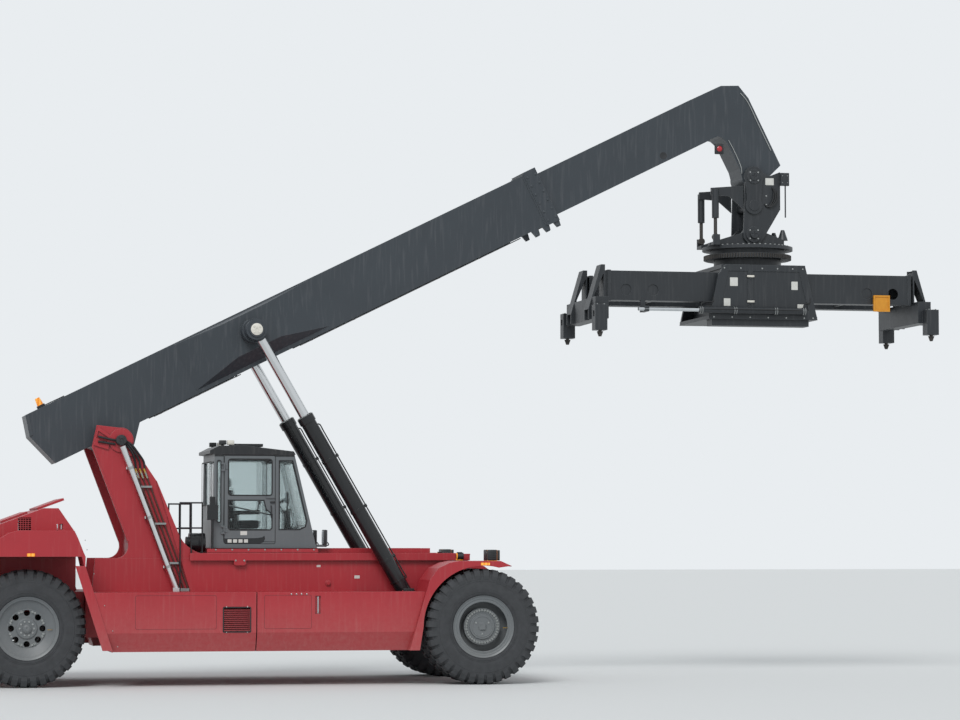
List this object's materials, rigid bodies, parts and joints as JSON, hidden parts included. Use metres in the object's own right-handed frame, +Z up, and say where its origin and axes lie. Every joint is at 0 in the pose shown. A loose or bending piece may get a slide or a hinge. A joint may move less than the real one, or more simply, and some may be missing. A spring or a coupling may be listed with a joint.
{
  "type": "reach stacker",
  "caption": "Four-wheeled container handler with a sliding cab, a telescopic luffing boom on twin cylinders and a slewing telescopic spreader with twistlocks.",
  "frame": {"origin": "on the ground under the middle of the whole machine as parked", "axes": "+X forward, towards the spreader; +Y to the machine's left; +Z up"},
  "size_m": [17.3577, 4.2, 10.1536],
  "materials": {
    "red_paint": "satin, weathered",
    "slate_paint": "satin, scuffed",
    "grey_paint": "satin",
    "black_paint": "satin",
    "chrome": "polished",
    "steel": "bare, oiled",
    "iron": "matte",
    "tyre": "matte, dusty",
    "amber_lens": "glossy",
    "glass": "clear, tinted",
    "seat": "woven"
  },
  "bodies": {
    "chassis": {"chassis_frame": "red_paint", "tower": "red_paint", "side_boxes": "red_paint", "hood": "red_paint", "counterweight": "red_paint", "fenders": "red_paint", "front_axle": "iron", "rear_axle": "iron", "engine_block": "iron", "handrails": "black_paint", "tower_pipes": "chrome", "lamps": "amber_lens"},
    "cab": {"cab_shell": "grey_paint", "cab_glass": "glass", "cab_seat": "seat", "cab_controls": "black_paint"},
    "door": {"door_frame": "grey_paint", "door_glass": "glass"},
    "boom": {"boom_outer": "slate_paint", "beacon": "amber_lens"},
    "inner_boom": {"boom_inner": "slate_paint"},
    "lift_barrel_left": {"lift_barrel_left": "black_paint"},
    "lift_barrel_right": {"lift_barrel_right": "black_paint"},
    "lift_rod_left": {"lift_rod_left": "chrome"},
    "lift_rod_right": {"lift_rod_right": "chrome"},
    "link": {"head_link": "slate_paint"},
    "damper_rods": {"damper_rods": "chrome"},
    "platform": {"slew_platform": "slate_paint"},
    "carriage": {"carriage": "slate_paint"},
    "tubes": {"main_tubes": "slate_paint", "flood_lamp": "amber_lens"},
    "front_beam": {"beam_front": "slate_paint"},
    "rear_beam": {"beam_rear": "slate_paint"},
    "twistlock_1": {"twistlock_1": "steel"},
    "twistlock_2": {"twistlock_2": "steel"},
    "twistlock_3": {"twistlock_3": "steel"},
    "twistlock_4": {"twistlock_4": "steel"},
    "knuckle_left": {"knuckle_left": "grey_paint"},
    "knuckle_right": {"knuckle_right": "grey_paint"},
    "front_wheel_left": {"tyre_front_left": "tyre", "rim_front_left": "grey_paint"},
    "front_wheel_right": {"tyre_front_right": "tyre", "rim_front_right": "grey_paint"},
    "rear_wheel_left": {"tyre_rear_left": "tyre", "rim_rear_left": "grey_paint"},
    "rear_wheel_right": {"tyre_rear_right": "tyre", "rim_rear_right": "grey_paint"}
  },
  "joints": [
    {"name": "front_wheel_left_spin", "type": "hinge", "parent": "chassis", "child": "front_wheel_left", "pos_m": [0.52115, 1.5, 0.935], "axis": [0, 1, 0], "continuous": true},
    {"name": "front_wheel_right_spin", "type": "hinge", "parent": "chassis", "child": "front_wheel_right", "pos_m": [0.52115, -1.5, 0.935], "axis": [0, 1, 0], "continuous": true},
    {"name": "steer_left", "type": "hinge", "parent": "chassis", "child": "knuckle_left", "pos_m": [-6.77885, 1.15, 0.935], "axis": [0, 0, 1], "range_deg": [-42, 42]},
    {"name": "steer_right", "type": "hinge", "parent": "chassis", "child": "knuckle_right", "pos_m": [-6.77885, -1.15, 0.935], "axis": [0, 0, 1], "range_deg": [-42, 42]},
    {"name": "rear_wheel_left_spin", "type": "hinge", "parent": "knuckle_left", "child": "rear_wheel_left", "pos_m": [-6.77885, 1.5, 0.935], "axis": [0, 1, 0], "continuous": true},
    {"name": "rear_wheel_right_spin", "type": "hinge", "parent": "knuckle_right", "child": "rear_wheel_right", "pos_m": [-6.77885, -1.5, 0.935], "axis": [0, 1, 0], "continuous": true},
    {"name": "cab_slide", "type": "slide", "parent": "chassis", "child": "cab", "axis": [1, 0, 0], "range_m": [0, 1.9]},
    {"name": "cab_door", "type": "hinge", "parent": "cab", "child": "door", "pos_m": [-3.53085, -0.738, 3], "axis": [0, 0, 1], "range_deg": [-80, 0]},
    {"name": "boom_lift", "type": "hinge", "parent": "chassis", "child": "boom", "pos_m": [-5.22885, 0, 3.95], "axis": [0, -1, 0], "range_deg": [-26.4, 33.6]},
    {"name": "telescope", "type": "slide", "parent": "boom", "child": "inner_boom", "axis": [-0.8957, 0, -0.4446], "range_m": [-3.8, 3.2]},
    {"name": "lift_barrel_left_tilt", "type": "hinge", "parent": "chassis", "child": "lift_barrel_left", "pos_m": [-0.51885, 1, 1.38], "axis": [0, -1, 0], "range_deg": [-3.2, 4.1]},
    {"name": "lift_rod_left_slide", "type": "slide", "parent": "lift_barrel_left", "child": "lift_rod_left", "axis": [-0.5013, 0, 0.8653], "range_m": [-1.2405, 1.5785]},
    {"name": "lift_barrel_right_tilt", "type": "hinge", "parent": "chassis", "child": "lift_barrel_right", "pos_m": [-0.51885, -1, 1.38], "axis": [0, -1, 0], "range_deg": [-3.2, 4.1]},
    {"name": "lift_rod_right_slide", "type": "slide", "parent": "lift_barrel_right", "child": "lift_rod_right", "axis": [-0.5013, 0, 0.8653], "range_m": [-1.2405, 1.5785]},
    {"name": "link_swing", "type": "hinge", "parent": "inner_boom", "child": "link", "pos_m": [5.64735, 0, 8.57865], "axis": [0, 1, 0], "range_deg": [-13, 14]},
    {"name": "platform_swing", "type": "hinge", "parent": "link", "child": "platform", "pos_m": [5.64735, 0, 7.57865], "axis": [0, 1, 0], "range_deg": [-13.4, 19.6]},
    {"name": "damper_slide", "type": "slide", "parent": "link", "child": "damper_rods", "axis": [0, 0, -1], "range_m": [-0.2302, 0.1579]},
    {"name": "slew", "type": "hinge", "parent": "platform", "child": "carriage", "pos_m": [5.64735, 0, 7.31865], "axis": [0, 0, 1], "range_deg": [-195, 105]},
    {"name": "side_shift", "type": "slide", "parent": "carriage", "child": "tubes", "axis": [1, 0, 0], "range_m": [-0.8, 0.8]},
    {"name": "extend_front", "type": "slide", "parent": "tubes", "child": "front_beam", "axis": [1, 0, 0], "range_m": [0, 3.066]},
    {"name": "extend_rear", "type": "slide", "parent": "tubes", "child": "rear_beam", "axis": [-1, 0, 0], "range_m": [0, 3.066]},
    {"name": "twistlock_1_turn", "type": "hinge", "parent": "front_beam", "child": "twistlock_1", "pos_m": [8.57385, 1.1295, 5.97865], "axis": [0, 0, 1], "range_deg": [0, 90]},
    {"name": "twistlock_2_turn", "type": "hinge", "parent": "front_beam", "child": "twistlock_2", "pos_m": [8.57385, -1.1295, 5.97865], "axis": [0, 0, 1], "range_deg": [0, 90]},
    {"name": "twistlock_3_turn", "type": "hinge", "parent": "rear_beam", "child": "twistlock_3", "pos_m": [2.72085, 1.1295, 5.97865], "axis": [0, 0, 1], "range_deg": [0, 90]},
    {"name": "twistlock_4_turn", "type": "hinge", "parent": "rear_beam", "child": "twistlock_4", "pos_m": [2.72085, -1.1295, 5.97865], "axis": [0, 0, 1], "range_deg": [0, 90]}
  ],
  "couplings": [
    {"joint": "steer_right", "follows": "steer_left", "ratio": 1},
    {"joint": "lift_barrel_left_tilt", "follows": "boom_lift", "ratio": 0.12},
    {"joint": "lift_rod_left_slide", "follows": "boom_lift", "m_per_rad": 2.69},
    {"joint": "lift_barrel_right_tilt", "follows": "boom_lift", "ratio": 0.12},
    {"joint": "lift_rod_right_slide", "follows": "boom_lift", "m_per_rad": 2.69},
    {"joint": "damper_slide", "follows": "platform_swing", "m_per_rad": -0.67},
    {"joint": "extend_rear", "follows": "extend_front", "ratio": 1},
    {"joint": "twistlock_2_turn", "follows": "twistlock_1_turn", "ratio": 1},
    {"joint": "twistlock_3_turn", "follows": "twistlock_1_turn", "ratio": 1},
    {"joint": "twistlock_4_turn", "follows": "twistlock_1_turn", "ratio": 1}
  ]
}
